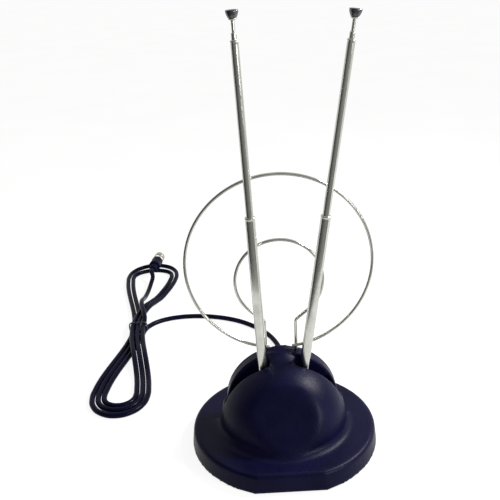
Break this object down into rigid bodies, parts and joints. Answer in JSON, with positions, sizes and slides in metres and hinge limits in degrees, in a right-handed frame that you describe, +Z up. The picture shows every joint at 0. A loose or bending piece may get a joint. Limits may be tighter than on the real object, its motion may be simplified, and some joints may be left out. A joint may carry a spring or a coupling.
{
  "type": "indoor television antenna",
  "caption": "Indoor aerial with two telescopic arms, a double wire loop, a weighted black base and a coiled coaxial lead with a screw plug.",
  "frame": {"origin": "centre of the base on the surface it stands on, level with the underside of the feet", "axes": "+Z up, -Y towards the front with the flat round face on the dome, +X to the right seen from the front"},
  "size_m": [0.2182, 0.3959, 0.2977],
  "materials": {
    "black_case": "satin black moulded plastic with a slight blue cast",
    "black_base": "matt black moulded plastic",
    "zinc_screw": "zinc plated",
    "rubber": "matt black rubber",
    "ballast_steel": "plain rolled steel bar",
    "phenolic": "brown phenolic board",
    "bracket_steel": "pressed steel",
    "brass": "plain brass",
    "chrome_tube": "bright chrome plate",
    "knuckle_steel": "nickel plated steel",
    "tip_dark": "dark moulded cap",
    "loop_wire": "bright plated wire",
    "ferrite": "matt grey ferrite",
    "copper": "bare copper",
    "capacitor": "dipped ceramic",
    "red_wire": "red insulation",
    "cord_black": "smooth black jacket",
    "tie_black": "black tie",
    "boot_black": "moulded black boot",
    "nickel": "nickel plate",
    "white_insulator": "white insulation"
  },
  "bodies": {
    "base": {"housing_cover": "black_case", "rear_cover": "black_case", "rear_cover_screws": "zinc_screw", "bottom_plate": "black_base", "base_screws": "zinc_screw", "rubber_feet": "rubber", "ballast_weights": "ballast_steel", "ballast_screws": "zinc_screw", "terminal_board": "phenolic", "board_screws": "zinc_screw", "left_arm_bracket": "bracket_steel", "right_arm_bracket": "bracket_steel", "bracket_rivets": "brass", "pivot_screws": "zinc_screw", "pivot_nuts": "zinc_screw", "spring_washers": "zinc_screw", "small_ring": "loop_wire", "large_ring": "loop_wire", "loop_sockets": "brass", "loop_set_screws": "zinc_screw", "ferrite_core": "ferrite", "balun_windings": "copper", "board_capacitors": "capacitor", "jumper_wires": "red_wire", "cord_gland": "rubber", "inner_lead": "cord_black", "cable_clamp": "zinc_screw", "clamp_screws": "zinc_screw", "cord_lead": "cord_black", "cord_hank": "cord_black", "cord_tail": "cord_black", "cord_tie": "tie_black", "plug_boot": "boot_black", "plug_collar": "nickel", "plug_insulator": "white_insulator", "plug_pin": "copper"},
    "left_arm": {"left_knuckle": "knuckle_steel", "left_outer_tube": "chrome_tube"},
    "left_second_section": {"left_second_tube": "chrome_tube", "left_second_sleeve": "brass"},
    "left_third_section": {"left_third_tube": "chrome_tube", "left_third_sleeve": "brass"},
    "left_tip_section": {"left_tip_rod": "chrome_tube", "left_rod_sleeve": "brass", "left_tip_cap": "tip_dark"},
    "right_arm": {"right_knuckle": "knuckle_steel", "right_outer_tube": "chrome_tube"},
    "right_second_section": {"right_second_tube": "chrome_tube", "right_second_sleeve": "brass"},
    "right_third_section": {"right_third_tube": "chrome_tube", "right_third_sleeve": "brass"},
    "right_tip_section": {"right_tip_rod": "chrome_tube", "right_rod_sleeve": "brass", "right_tip_cap": "tip_dark"},
    "plug_coupling": {"plug_nut": "nickel"}
  },
  "joints": [
    {"name": "left_arm_swing", "type": "hinge", "parent": "base", "child": "left_arm", "pos_m": [-0.0125, 0, 0.0365], "axis": [0, -1, 0], "range_deg": [-2.4, 87.6]},
    {"name": "left_second_slide", "type": "slide", "parent": "left_arm", "child": "left_second_section", "axis": [-0.0419, 0, 0.9991], "range_m": [-0.102, 0]},
    {"name": "left_third_slide", "type": "slide", "parent": "left_second_section", "child": "left_third_section", "axis": [-0.0419, 0, 0.9991], "range_m": [-0.0035, 0.105]},
    {"name": "left_tip_slide", "type": "slide", "parent": "left_third_section", "child": "left_tip_section", "axis": [-0.0419, 0, 0.9991], "range_m": [-0.0065, 0.104]},
    {"name": "right_arm_swing", "type": "hinge", "parent": "base", "child": "right_arm", "pos_m": [0.0125, 0, 0.0365], "axis": [0, 1, 0], "range_deg": [-8, 82]},
    {"name": "right_second_slide", "type": "slide", "parent": "right_arm", "child": "right_second_section", "axis": [0.1392, 0, 0.9903], "range_m": [-0.102, 0]},
    {"name": "right_third_slide", "type": "slide", "parent": "right_second_section", "child": "right_third_section", "axis": [0.1392, 0, 0.9903], "range_m": [-0.0035, 0.105]},
    {"name": "right_tip_slide", "type": "slide", "parent": "right_third_section", "child": "right_tip_section", "axis": [0.1392, 0, 0.9903], "range_m": [-0.0065, 0.104]},
    {"name": "plug_nut_spin", "type": "hinge", "parent": "base", "child": "plug_coupling", "pos_m": [-0.121, 0.296, 0.0109], "axis": [0.1392, 0.9903, 0], "continuous": true}
  ]
}
